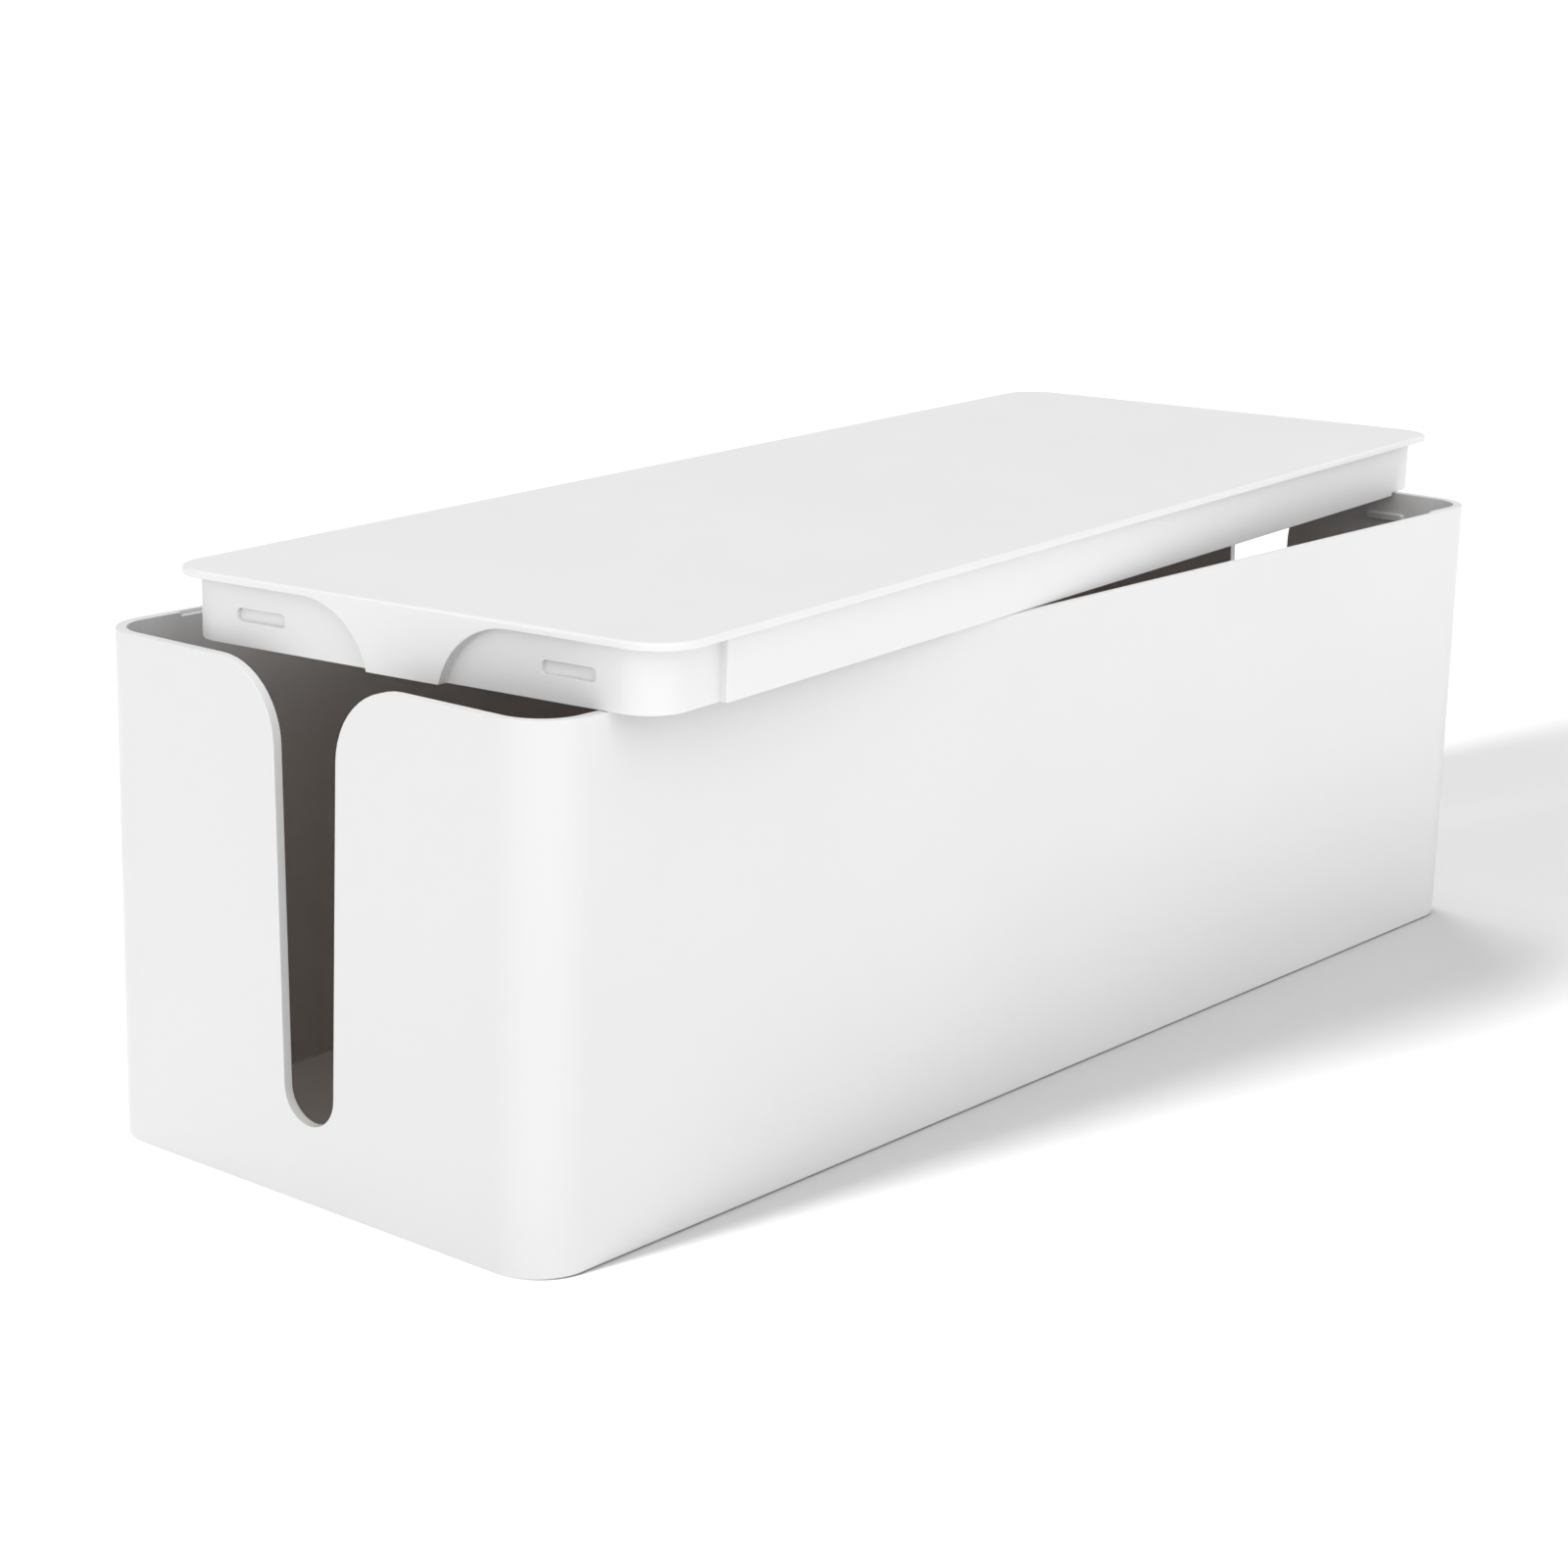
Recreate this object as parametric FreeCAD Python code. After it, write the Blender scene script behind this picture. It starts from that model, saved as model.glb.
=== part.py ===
"""Cable box: an open tub for a power strip and its leads, with a loose lid and four rubber feet.

X runs along the box, Y across it and +Z is up. The origin is on the floor, below the middle of
the tub. All sizes are in millimetres.
"""

import FreeCAD, Part
import math
import os

from FreeCAD import Placement, Rotation, Vector

os.makedirs("parts", exist_ok=True)

# Tub
tub_length = 407.0
tub_width = 146.8
tub_height = 126.3
tub_corner_radius = 13.8
wall = 2.7
floor_thickness = 2.2
foot_edge_round = 0.5
floor_round = 0.8
rim_round = 0.3

# Cable slot in each end wall: a narrow slot with a round bottom and a flared mouth
slot_bottom_radius = 8.2
slot_bottom_height = 19.4
flare_radius = 19.2
flare_centre_y = 29.3

# Ledge that thins the rim inside the long walls
ledge_half_length = 178.0
ledge_depth = 1.1
ledge_width = 1.3

# Snap ribs inside the end walls and the matching pockets in the lid
snap_centre_y = 44.0
snap_drop = 7.5
rib_length = 12.4
rib_height = 2.2
rib_proud = 1.4
rib_end_round = 0.9
pocket_length = 14.4
pocket_height = 3.1
pocket_depth = 1.3
pocket_end_round = 1.1
rib_edge_round = 0.4
pocket_lip_round = 0.2

# Feet
foot_radius = 6.0
foot_thickness = 1.6
foot_proud = 0.3
foot_clearance = 0.15
foot_inset = 22.0
foot_round = 0.2

# Lid
flange_length = 407.0
flange_width = 144.8
flange_corner_radius = 11.9
flange_thickness = 1.8
flange_top_round = 0.8
skirt_depth = 14.9
skirt_end_inset = 2.9
skirt_corner_inset = 4.6
skirt_long_inset = 2.5
skirt_corner_radius = 10.0
skirt_wall = 2.0
skirt_long_half_length = 177.8
tab_clearance = 0.3
tab_wall = 2.2
tab_hollow_half_width = 6.5
step_round = 0.5
root_round = 0.6
outer_round = 0.25
skirt_edge_round = 0.15

# The lid lies loose on the rim, turned and pushed along a little
lid_turn = 6.0
lid_shift_x = 10.3
lid_shift_y = 1.7
lid_gap = 0.1

rim_height = foot_proud + tub_height
skirt_end_x = flange_length / 2 - skirt_end_inset
skirt_corner_y = flange_width / 2 - skirt_corner_inset
skirt_long_y = flange_width / 2 - skirt_long_inset
overlap = 1.0
tolerance = 1e-3


def same(first, second):
    """Whether two lengths agree to within the modelling tolerance."""
    return abs(first - second) < tolerance


def slab(length, width, radius, low, high):
    """Upright block with rounded vertical corners, centred on the Z axis."""
    block = Part.makeBox(length, width, high - low, Vector(-length / 2, -width / 2, low))
    upright = [edge for edge in block.Edges if abs(edge.tangentAt(edge.FirstParameter).z) > 0.5]
    return block.makeFillet(radius, upright)


def box(low, high):
    """Block between two corners."""
    size = Vector(*high) - Vector(*low)
    return Part.makeBox(size.x, size.y, size.z, Vector(*low))


def edges_at_height(shape, height):
    """Edges that lie wholly in one horizontal plane."""
    return [
        edge
        for edge in shape.Edges
        if same(edge.BoundBox.ZMin, height) and same(edge.BoundBox.ZMax, height)
    ]


def reach(edge):
    """Largest and smallest distance of an edge's bounds from the two upright middle planes."""
    bounds = edge.BoundBox
    x = sorted([abs(bounds.XMin), abs(bounds.XMax)])
    y = sorted([abs(bounds.YMin), abs(bounds.YMax)])
    return x, y, bounds.ZMin, bounds.ZMax


def slot_cutter(start_x, end_x):
    """Prism of the cable slot's outline: round bottom, slightly tapered sides, flared mouth."""
    bottom_z = foot_proud + slot_bottom_height + slot_bottom_radius
    flare_z = rim_height - flare_radius
    rise = flare_z - bottom_z
    both_radii = slot_bottom_radius + flare_radius
    taper = math.acos(both_radii / math.hypot(flare_centre_y, rise)) - math.atan2(rise, flare_centre_y)
    low_y = slot_bottom_radius * math.cos(taper)
    low_z = bottom_z - slot_bottom_radius * math.sin(taper)
    high_y = flare_centre_y - flare_radius * math.cos(taper)
    high_z = flare_z + flare_radius * math.sin(taper)
    middle = (math.pi / 2 - taper) / 2 + taper
    middle_y = flare_centre_y - flare_radius * math.cos(middle)
    middle_z = flare_z + flare_radius * math.sin(middle)

    def point(y, z):
        return Vector(start_x, y, z)

    def flare(side):
        return Part.Arc(
            point(side * high_y, high_z),
            point(side * middle_y, middle_z),
            point(side * flare_centre_y, rim_height),
        ).toShape()

    top = rim_height + overlap
    outline = [
        flare(1),
        Part.makeLine(point(flare_centre_y, rim_height), point(flare_centre_y, top)),
        Part.makeLine(point(flare_centre_y, top), point(-flare_centre_y, top)),
        Part.makeLine(point(-flare_centre_y, top), point(-flare_centre_y, rim_height)),
        flare(-1),
        Part.makeLine(point(-high_y, high_z), point(-low_y, low_z)),
        Part.Arc(
            point(-low_y, low_z),
            point(0, bottom_z - slot_bottom_radius),
            point(low_y, low_z),
        ).toShape(),
        Part.makeLine(point(low_y, low_z), point(high_y, high_z)),
    ]
    face = Part.Face(Part.Wire(Part.__sortEdges__(outline)))
    return face.extrude(Vector(end_x - start_x, 0, 0))


def snap_bar(length, height, depth, end_round):
    """Bar with rounded ends that lies along Y through the origin: a snap rib, or its pocket."""
    bar = box((-depth, -length / 2, -height / 2), (depth, length / 2, height / 2))
    through = [edge for edge in bar.Edges if edge.BoundBox.XMax - edge.BoundBox.XMin > depth]
    return bar.makeFillet(end_round, through)


def foot_places():
    """Centres of the four feet."""
    x = tub_length / 2 - foot_inset
    y = tub_width / 2 - foot_inset
    return {
        "foot_front_left": (-x, y),
        "foot_front_right": (-x, -y),
        "foot_rear_left": (x, y),
        "foot_rear_right": (x, -y),
    }


def make_tub():
    """Open tub with rounded corners, two cable slots, ledges, snap ribs and foot seats."""
    shell = slab(tub_length, tub_width, tub_corner_radius, foot_proud, rim_height)
    shell = shell.makeFillet(foot_edge_round, edges_at_height(shell, foot_proud))

    floor_z = foot_proud + floor_thickness
    inner_length = tub_length - 2 * wall
    inner_width = tub_width - 2 * wall
    inner_radius = tub_corner_radius - wall
    cavity = slab(inner_length, inner_width, inner_radius, floor_z, rim_height + overlap)
    cavity = cavity.makeFillet(floor_round, edges_at_height(cavity, floor_z))
    tub = shell.cut(cavity)

    ledge_half_width = inner_width / 2 + ledge_width
    ledge = box(
        (-ledge_half_length, -ledge_half_width, rim_height - ledge_depth),
        (ledge_half_length, ledge_half_width, rim_height + overlap),
    )
    tub = tub.cut(ledge)

    slot_depth = wall + 2 * overlap
    for side in (-1, 1):
        outside = side * (tub_length / 2 + overlap)
        tub = tub.cut(slot_cutter(outside, outside - side * slot_depth))
    tub = tub.makeFillet(rim_round, rim_edges(tub))

    rib_z = rim_height - snap_drop
    for side_x in (-1, 1):
        for side_y in (-1, 1):
            rib = snap_bar(rib_length, rib_height, rib_proud, rib_end_round)
            around = [edge for edge in rib.Edges if edge.BoundBox.XMax - edge.BoundBox.XMin < tolerance]
            rib = rib.makeFillet(rib_edge_round, around)
            rib.translate(Vector(side_x * inner_length / 2, side_y * snap_centre_y, rib_z))
            tub = tub.fuse(rib)

    for x, y in foot_places().values():
        seat = Part.makeCylinder(foot_radius + foot_clearance, foot_thickness, Vector(x, y, 0))
        tub = tub.cut(seat)
    return tub.removeSplitter()


def rim_edges(tub):
    """Edges of the rim and of both slots, on the outside and on the inside of the wall."""
    chosen = []
    for edge in tub.Edges:
        x, y, low, high = reach(edge)
        on_rim = same(low, rim_height) and same(high, rim_height)
        across_wall = same(x[1] - x[0], wall) and same(y[0], y[1])
        in_end_wall = x[0] > tub_length / 2 - wall - tolerance
        round_slot = in_end_wall and y[1] < flare_centre_y + tolerance and low > foot_proud + floor_thickness
        if (on_rim or round_slot) and not across_wall:
            chosen.append(edge)
    return chosen


def tab_cutaway(z):
    """Half width of the lid's end tab at a height below the flange."""
    radius = flare_radius + tab_clearance
    return flare_centre_y - math.sqrt(radius**2 - (z + radius) ** 2)


def make_tab(side):
    """Lid's end tab: it fills the slot's mouth and its sides run into the flange's underside."""
    middle_z = -flare_radius / 4

    def point(y, z):
        return Vector(side * (skirt_end_x - overlap), y, z)

    def arc(hand):
        return Part.Arc(
            point(hand * tab_cutaway(-skirt_depth), -skirt_depth),
            point(hand * tab_cutaway(middle_z), middle_z),
            point(hand * flare_centre_y, 0),
        ).toShape()

    low_y = tab_cutaway(-skirt_depth)
    outline = [
        arc(1),
        Part.makeLine(point(flare_centre_y, 0), point(flare_centre_y, overlap)),
        Part.makeLine(point(flare_centre_y, overlap), point(-flare_centre_y, overlap)),
        Part.makeLine(point(-flare_centre_y, overlap), point(-flare_centre_y, 0)),
        arc(-1),
        Part.makeLine(point(-low_y, -skirt_depth), point(low_y, -skirt_depth)),
    ]
    face = Part.Face(Part.Wire(Part.__sortEdges__(outline)))
    return face.extrude(Vector(side * (skirt_end_inset + overlap), 0, 0))


def skirt_block(inset, low, high):
    """Block of the skirt's plan: a rounded slab, with a straight stretch proud of each long side."""
    ring = slab(
        2 * (skirt_end_x - inset),
        2 * (skirt_corner_y - inset),
        skirt_corner_radius - inset,
        low,
        high,
    )
    sides = box(
        (inset - skirt_long_half_length, inset - skirt_long_y, low),
        (skirt_long_half_length - inset, skirt_long_y - inset, high),
    )
    return ring.fuse(sides)


def step_edges(lid):
    """Upright outer edges where the skirt steps out along its long sides."""
    chosen = []
    for edge in lid.Edges:
        x, y, low, high = reach(edge)
        at_step = same(x[0], skirt_long_half_length) and same(y[0], skirt_long_y)
        if at_step and same(high - low, skirt_depth):
            chosen.append(edge)
    return chosen


def root_edges(lid):
    """Edges where the skirt and the tabs' sides meet the flange and the skirt's end faces."""
    chosen = []
    for edge in lid.Edges:
        x, y, low, high = reach(edge)
        inside = x[1] < skirt_end_x + tolerance and y[1] < skirt_long_y + tolerance
        under_flange = same(low, 0) and same(high, 0)
        tab_side = same(x[0], skirt_end_x) and same(low, -skirt_depth) and same(high, 0)
        if inside and (under_flange or (tab_side and y[1] < flare_centre_y + tolerance)):
            chosen.append(edge)
    return chosen


def outer_edges(lid):
    """The flange's lower edge and the tabs' side edges, one smooth run round the lid."""
    chosen = []
    for edge in lid.Edges:
        x, y, low, high = reach(edge)
        on_end = same(x[0], flange_length / 2)
        flange_edge = same(low, 0) and same(high, 0) and (on_end or same(y[1], flange_width / 2))
        tab_edge = on_end and same(high, 0) and low < -skirt_depth / 2
        if flange_edge or tab_edge:
            chosen.append(edge)
    return chosen


def pocket_edges(lid):
    """Edges of the pockets' mouths, in the skirt's end faces."""
    chosen = []
    for edge in lid.Edges:
        x, y, low, high = reach(edge)
        in_face = same(x[0], skirt_end_x) and same(x[1], skirt_end_x)
        beside = max(abs(y[0] - snap_centre_y), abs(y[1] - snap_centre_y)) < pocket_length / 2 + tolerance
        level = max(abs(low + snap_drop), abs(high + snap_drop)) < pocket_height / 2 + tolerance
        if in_face and beside and level:
            chosen.append(edge)
    return chosen


def make_lid():
    """One-piece lid in its own frame: the flange's underside is z = 0 and the skirt hangs below."""
    lid = slab(flange_length, flange_width, flange_corner_radius, 0, flange_thickness)
    lid = lid.fuse(skirt_block(0, -skirt_depth, overlap))
    for side in (-1, 1):
        lid = lid.fuse(make_tab(side))
    lid = lid.removeSplitter()
    lid = lid.makeFillet(step_round, step_edges(lid))
    lid = lid.makeFillet(root_round, root_edges(lid))
    lid = lid.makeFillet(outer_round, outer_edges(lid))
    lid = lid.makeFillet(skirt_edge_round, edges_at_height(lid, -skirt_depth))
    lid = lid.makeFillet(flange_top_round, edges_at_height(lid, flange_thickness))

    lid = lid.cut(skirt_block(skirt_wall, -skirt_depth - overlap, 0))
    for side in (-1, 1):
        near_x = side * (skirt_end_x - skirt_wall - overlap)
        far_x = side * (flange_length / 2 - tab_wall)
        hollow = box(
            (min(near_x, far_x), -tab_hollow_half_width, -skirt_depth - overlap),
            (max(near_x, far_x), tab_hollow_half_width, 0),
        )
        lid = lid.cut(hollow)
        for hand in (-1, 1):
            pocket = snap_bar(pocket_length, pocket_height, pocket_depth, pocket_end_round)
            pocket.translate(Vector(side * skirt_end_x, hand * snap_centre_y, -snap_drop))
            lid = lid.cut(pocket)
    return lid.makeFillet(pocket_lip_round, pocket_edges(lid))


def make_feet():
    """Four rubber discs, each glued into its seat under the tub."""
    feet = {}
    for name, (x, y) in foot_places().items():
        foot = Part.makeCylinder(foot_radius, foot_thickness, Vector(x, y, 0))
        feet[name] = foot.makeFillet(foot_round, edges_at_height(foot, 0))
    return feet


parts = {"tub": make_tub(), "lid": make_lid()}
parts["lid"].Placement = Placement(
    Vector(lid_shift_x, lid_shift_y, rim_height + lid_gap + skirt_depth),
    Rotation(Vector(0, 0, 1), lid_turn),
)
parts.update(make_feet())

for name, shape in parts.items():
    shape.exportStep(f"parts/{name}.step")
    print(name, "valid" if shape.isValid() else "INVALID", len(shape.Solids), round(shape.Volume))
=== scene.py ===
"""Looks for the cable box: plastics, rubber feet, studio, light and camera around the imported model."""

import math

import bmesh
import bpy
from mathutils import Matrix, Vector


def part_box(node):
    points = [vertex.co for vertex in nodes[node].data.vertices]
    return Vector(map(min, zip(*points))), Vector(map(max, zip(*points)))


MILLIMETRE = 0.001

# Camera: place in metres, angles in degrees. Azimuth 0 is on the -Y side of the box, and -90 is on
# the -X side.
CAMERA_PLACE = Vector((-0.6928, -0.5360, 0.2886))
CAMERA_AZIMUTH = -49.80
CAMERA_ELEVATION = 14.46
CAMERA_ROLL = 1.10
CAMERA_LENS = 76.11
CAMERA_SHIFT = 0.04
SENSOR_WIDTH = 36.0

# Lights: azimuths as for the camera, spreads in degrees, and strengths as the brightness that each
# gives to a white surface facing it. The sky lights everything.
SKY_STRENGTH = 0.52
# Soft lights for the box alone: azimuth, elevation, spread, strength.
BOX_LIGHTS = {
    "left": (-75.0, 30.0, 45.0, 0.18),
    "right": (-10.0, 30.0, 45.0, 0.23),
    "top": (0.0, 90.0, 80.0, 0.48),
}
# Lights for the floor alone. The side lights stand one above the other and cast the shadow.
FLOOR_LIGHTS = {
    "side_low": (-100.7, 18.0, 10.0, 0.93),
    "side_middle": (-100.7, 24.0, 10.0, 0.74),
    "side_high": (-100.7, 30.0, 10.0, 0.12),
    "back": (160.0, 45.0, 40.0, 0.40),
    "far_end": (75.0, 40.0, 45.0, 0.08),
}

# Studio
FLOOR_RADIUS = 25.0
FLOOR_WHITE = 0.9
FLOOR_ROUGHNESS = 0.9
BACKDROP_RADIUS = 30.0
BACKDROP_BRIGHTNESS = 1.05

# Plastics: base colours, the colour of the painted shade on the tub's inner faces, and the finish's
# grain and mean roughness
TUB_WHITE = (0.700, 0.700, 0.700)
# Painted shade: the darker, warmer colour painted on the tub's inner faces
TUB_PAINTED_SHADE = (0.650, 0.590, 0.555)
LID_WHITE = (0.745, 0.745, 0.745)
TUB_FINISH = {
    "grain_size": 0.5 * MILLIMETRE,
    "grain_height": 0.004 * MILLIMETRE,
    "roughness": 0.36,
}
LID_FINISH = {
    "grain_size": 0.4 * MILLIMETRE,
    "grain_height": 0.006 * MILLIMETRE,
    "roughness": 0.42,
}
TONE_DRIFT = 0.015
TONE_DRIFT_SIZE = 90 * MILLIMETRE
GLOSS_DRIFT = 0.03
GLOSS_DRIFT_SIZE = 14 * MILLIMETRE
ABS_REFRACTIVE_INDEX = 1.53

# Tub: corner radius and thicknesses, and the depth below the rim over which the painted shade on the
# inner faces sets in
TUB_CORNER = 13.8 * MILLIMETRE
TUB_WALL = 2.7 * MILLIMETRE
TUB_FLOOR = 2.2 * MILLIMETRE
PAINTED_SHADE_DEPTH = 40.0 * MILLIMETRE

# Rubber feet: darkest and lightest tone, smoothest and roughest spots
RUBBER_DARK = (0.018, 0.018, 0.019)
RUBBER_LIGHT = (0.035, 0.035, 0.036)
RUBBER_ROUGHNESS = (0.70, 0.85)
RUBBER_SPECKLE_SIZE = 0.6 * MILLIMETRE
RUBBER_GRAIN_SIZE = 0.3 * MILLIMETRE
RUBBER_GRAIN_HEIGHT = 0.02 * MILLIMETRE


def direction(azimuth, elevation):
    """Unit vector towards a place seen from the origin, with angles in degrees."""
    turn = math.radians(azimuth)
    lift = math.radians(elevation)
    return Vector(
        (
            math.sin(turn) * math.cos(lift),
            -math.cos(turn) * math.cos(lift),
            math.sin(lift),
        )
    )


def add_camera():
    """Camera off the near corner of the box, looking slightly down on it."""
    back = direction(CAMERA_AZIMUTH, CAMERA_ELEVATION)
    right = Vector((0, 0, 1)).cross(back).normalized()
    up = back.cross(right)
    turn = Matrix((right, up, back)).transposed().to_4x4()
    roll = Matrix.Rotation(math.radians(CAMERA_ROLL), 4, "Z")
    data = bpy.data.cameras.new("camera")
    data.lens = CAMERA_LENS
    data.sensor_width = SENSOR_WIDTH
    data.shift_x = CAMERA_SHIFT
    data.clip_end = 2 * BACKDROP_RADIUS
    camera = bpy.data.objects.new("camera", data)
    camera.matrix_world = Matrix.Translation(CAMERA_PLACE) @ turn @ roll
    bpy.context.scene.collection.objects.link(camera)
    bpy.context.scene.camera = camera


class Recipe:
    """A new node material and short ways to add and join its nodes.

    Most methods return a node's output. Wherever they take a value, an output does as well.
    """

    def __init__(self, name):
        self.material = bpy.data.materials.new(name)
        self.material.use_nodes = True
        self.nodes = self.material.node_tree.nodes
        self.shader = self.nodes["Principled BSDF"]
        self.place = self.add("ShaderNodeTexCoord").outputs["Object"]

    def add(self, kind, **settings):
        node = self.nodes.new(kind)
        for key, value in settings.items():
            setattr(node, key, value)
        return node

    def feed(self, socket, value):
        """Joins an output to a socket, or sets the socket to a plain value."""
        if isinstance(value, bpy.types.NodeSocket):
            self.material.node_tree.links.new(value, socket)
        else:
            socket.default_value = value

    def position(self):
        """The three coordinates of a point of the surface, in metres."""
        node = self.add("ShaderNodeSeparateXYZ")
        self.feed(node.inputs["Vector"], self.place)
        return node.outputs["X"], node.outputs["Y"], node.outputs["Z"]

    def math(self, operation, *values):
        node = self.add("ShaderNodeMath", operation=operation)
        for socket, value in zip(node.inputs, values):
            self.feed(socket, value)
        return node.outputs["Value"]

    def noise(self, size, detail=2.0, roughness=0.5):
        """Noise around 0.5, with features of about the given size in metres."""
        node = self.add("ShaderNodeTexNoise")
        node.inputs["Scale"].default_value = 1 / size
        node.inputs["Detail"].default_value = detail
        node.inputs["Roughness"].default_value = roughness
        self.feed(node.inputs["Vector"], self.place)
        return node.outputs["Fac"]

    def remap(self, value, from_low, from_high, to_low, to_high):
        """Maps one range to another, and stops at its ends."""
        node = self.add("ShaderNodeMapRange")
        numbers = (value, from_low, from_high, to_low, to_high)
        names = ("Value", "From Min", "From Max", "To Min", "To Max")
        for name, number in zip(names, numbers):
            self.feed(node.inputs[name], number)
        return node.outputs["Result"]

    def vary(self, noise, low, high, spread=0.2):
        """Maps noise to the range from low to high. A smaller spread gives more contrast."""
        return self.remap(noise, 0.5 - spread, 0.5 + spread, low, high)

    def scale(self, colour, factor):
        """A colour multiplied by a factor."""
        node = self.add("ShaderNodeVectorMath", operation="SCALE")
        self.feed(node.inputs["Vector"], colour)
        self.feed(node.inputs["Scale"], factor)
        return node.outputs["Vector"]

    def mix(self, factor, first, second):
        """The first plain colour at factor 0, the second at factor 1."""
        node = self.add("ShaderNodeMix", data_type="RGBA")
        self.feed(node.inputs["Factor"], factor)
        sockets = [socket for socket in node.inputs if socket.type == "RGBA"]
        for socket, colour in zip(sockets, (first, second)):
            self.feed(socket, (*colour, 1))
        return next(output for output in node.outputs if output.type == "RGBA")

    def bump(self, height, distance):
        """Raises the surface by height times a distance in metres."""
        node = self.add("ShaderNodeBump")
        node.inputs["Strength"].default_value = 1.0
        node.inputs["Distance"].default_value = distance
        self.feed(node.inputs["Height"], height)
        return node.outputs["Normal"]


def satin_plastic(recipe, white, grain_size, grain_height, roughness):
    """White moulded ABS: faint drifts of tone, a fine eroded grain and slightly uneven gloss."""
    inputs = recipe.shader.inputs
    tone = recipe.vary(recipe.noise(TONE_DRIFT_SIZE), 1 - TONE_DRIFT, 1, spread=0.15)
    gloss = recipe.noise(GLOSS_DRIFT_SIZE, detail=3)
    grain = recipe.noise(grain_size, detail=3, roughness=0.6)
    recipe.feed(inputs["Base Color"], recipe.scale(white, tone))
    recipe.feed(
        inputs["Roughness"],
        recipe.vary(gloss, roughness - GLOSS_DRIFT, roughness + GLOSS_DRIFT),
    )
    recipe.feed(inputs["Normal"], recipe.bump(grain, grain_height))
    recipe.feed(inputs["IOR"], ABS_REFRACTIVE_INDEX)
    return recipe.material


def squared_excess(recipe, place, limit):
    """Square of how far a coordinate is past a limit, on either side of the middle."""
    excess = recipe.math("SUBTRACT", recipe.math("ABSOLUTE", place), limit)
    return recipe.math("POWER", recipe.math("MAXIMUM", excess, 0.0), 2.0)


def tub_white_and_painted_shade(recipe):
    """The tub's white, with painted shade on its inner faces: darker and warmer down from the rim.

    A wall's inner face is at one distance from the box's middle rectangle, the one that the corner arcs'
    centres span, so the painted shade follows the walls round the corners.
    """
    low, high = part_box("tub")
    x, y, z = recipe.position()
    squares = (
        squared_excess(recipe, x, high[0] - TUB_CORNER),
        squared_excess(recipe, y, high[1] - TUB_CORNER),
    )
    outward = recipe.math("SQRT", recipe.math("ADD", *squares))
    face = TUB_CORNER - TUB_WALL
    within_walls = recipe.remap(outward, face + 0.1 * MILLIMETRE, face + 0.6 * MILLIMETRE, 1, 0)
    above_floor = recipe.remap(z, low[2] + 0.4 * TUB_FLOOR, low[2] + 0.9 * TUB_FLOOR, 0, 1)
    below_rim = recipe.remap(z, high[2] - PAINTED_SHADE_DEPTH, high[2] - 0.4 * MILLIMETRE, 1, 0)
    # Painted shade: mask over the tub's inner faces, above the floor and fading out towards the rim
    painted_shade = recipe.math("MULTIPLY", within_walls, recipe.math("MULTIPLY", above_floor, below_rim))
    return recipe.mix(painted_shade, TUB_WHITE, TUB_PAINTED_SHADE)


def tub_plastic():
    recipe = Recipe("tub_plastic")
    return satin_plastic(recipe, tub_white_and_painted_shade(recipe), **TUB_FINISH)


def lid_plastic():
    return satin_plastic(Recipe("lid_plastic"), LID_WHITE, **LID_FINISH)


def foot_rubber():
    """Dark grey rubber with a fine matt grain."""
    recipe = Recipe("foot_rubber")
    inputs = recipe.shader.inputs
    speckle = recipe.noise(RUBBER_SPECKLE_SIZE)
    grain = recipe.noise(RUBBER_GRAIN_SIZE)
    recipe.feed(inputs["Base Color"], recipe.mix(speckle, RUBBER_DARK, RUBBER_LIGHT))
    recipe.feed(inputs["Roughness"], recipe.vary(speckle, *RUBBER_ROUGHNESS))
    recipe.feed(inputs["Normal"], recipe.bump(grain, RUBBER_GRAIN_HEIGHT))
    return recipe.material


def dress(node, material):
    """Gives a CAD node its finish."""
    node.data.materials.clear()
    node.data.materials.append(material)


def add_stage_mesh(name, build, material):
    """Floor or backdrop: a mesh that isn't part of the object."""
    shape = bmesh.new()
    build(shape)
    mesh = bpy.data.meshes.new(name)
    shape.to_mesh(mesh)
    shape.free()
    mesh.materials.append(material)
    item = bpy.data.objects.new(name, mesh)
    bpy.context.scene.collection.objects.link(item)
    return item


def add_floor():
    """Wide, plain white floor."""
    recipe = Recipe("floor_white")
    inputs = recipe.shader.inputs
    inputs["Base Color"].default_value = (FLOOR_WHITE, FLOOR_WHITE, FLOOR_WHITE, 1)
    inputs["Roughness"].default_value = FLOOR_ROUGHNESS
    inputs["Specular IOR Level"].default_value = 0.0
    return add_stage_mesh(
        "floor",
        lambda shape: bmesh.ops.create_circle(shape, cap_ends=True, segments=96, radius=FLOOR_RADIUS),
        recipe.material,
    )


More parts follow.
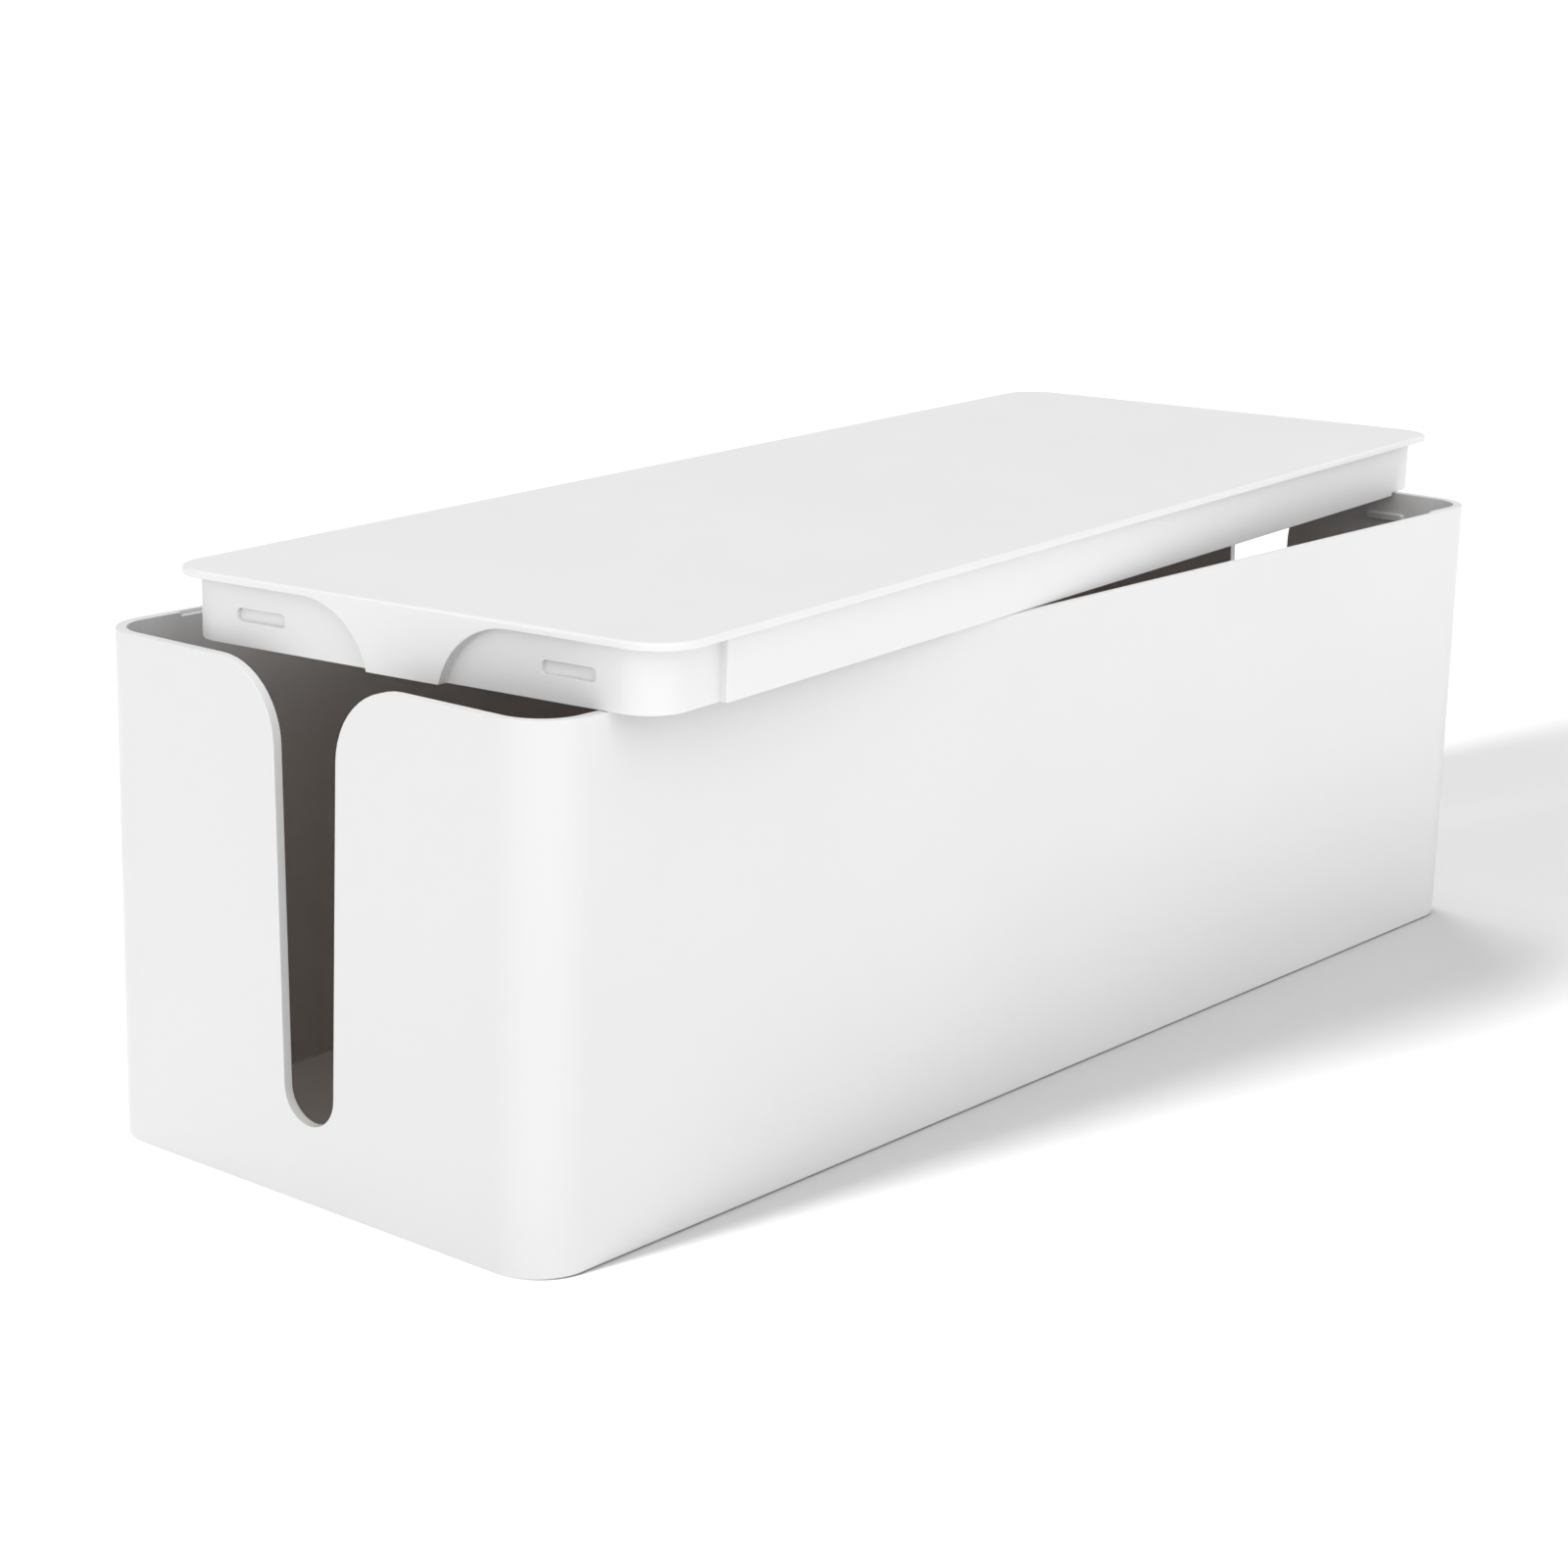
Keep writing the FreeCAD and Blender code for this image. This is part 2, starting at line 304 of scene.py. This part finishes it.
def add_backdrop():
    """White surround behind the floor's edge. Only the camera sees it, so it adds no light."""
    recipe = Recipe("backdrop_white")
    inputs = recipe.shader.inputs
    inputs["Base Color"].default_value = (0, 0, 0, 1)
    inputs["Specular IOR Level"].default_value = 0.0
    inputs["Emission Color"].default_value = (1, 1, 1, 1)
    inputs["Emission Strength"].default_value = BACKDROP_BRIGHTNESS
    backdrop = add_stage_mesh(
        "backdrop",
        lambda shape: bmesh.ops.create_icosphere(shape, subdivisions=4, radius=BACKDROP_RADIUS),
        recipe.material,
    )
    for kind in ("diffuse", "glossy", "transmission", "volume_scatter", "shadow"):
        setattr(backdrop, "visible_" + kind, False)


def add_sky():
    """Even white light from all round."""
    world = bpy.data.worlds.new("sky")
    world.use_nodes = True
    background = world.node_tree.nodes["Background"]
    background.inputs["Color"].default_value = (1, 1, 1, 1)
    background.inputs["Strength"].default_value = SKY_STRENGTH
    bpy.context.scene.world = world


def add_sun(name, azimuth, elevation, spread, strength, lit):
    """Soft, distant light that falls only on the objects given, though all objects shade them."""
    data = bpy.data.lights.new(name, "SUN")
    data.energy = strength * math.pi
    data.angle = math.radians(spread)
    lamp = bpy.data.objects.new(name, data)
    lamp.rotation_euler = direction(azimuth, elevation).to_track_quat("Z", "Y").to_euler()
    bpy.context.scene.collection.objects.link(lamp)
    receivers = bpy.data.collections.new(name + "_lights")
    for item in lit:
        receivers.objects.link(item)
    lamp.light_linking.receiver_collection = receivers


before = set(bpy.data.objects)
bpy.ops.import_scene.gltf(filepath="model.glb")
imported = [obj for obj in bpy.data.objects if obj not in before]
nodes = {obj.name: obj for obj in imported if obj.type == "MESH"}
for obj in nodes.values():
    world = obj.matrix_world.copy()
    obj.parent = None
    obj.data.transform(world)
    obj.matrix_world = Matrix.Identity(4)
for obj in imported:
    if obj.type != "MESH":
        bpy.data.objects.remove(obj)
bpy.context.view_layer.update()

add_camera()
add_sky()
floor = add_floor()
add_backdrop()
for name, light in BOX_LIGHTS.items():
    add_sun(name, *light, nodes.values())
for name, light in FLOOR_LIGHTS.items():
    add_sun(name, *light, [floor])
bpy.context.scene.view_settings.view_transform = "Standard"

dress(nodes["tub"], tub_plastic())
dress(nodes["lid"], lid_plastic())
rubber = foot_rubber()
for name, node in nodes.items():
    if name.startswith("foot_"):
        dress(node, rubber)
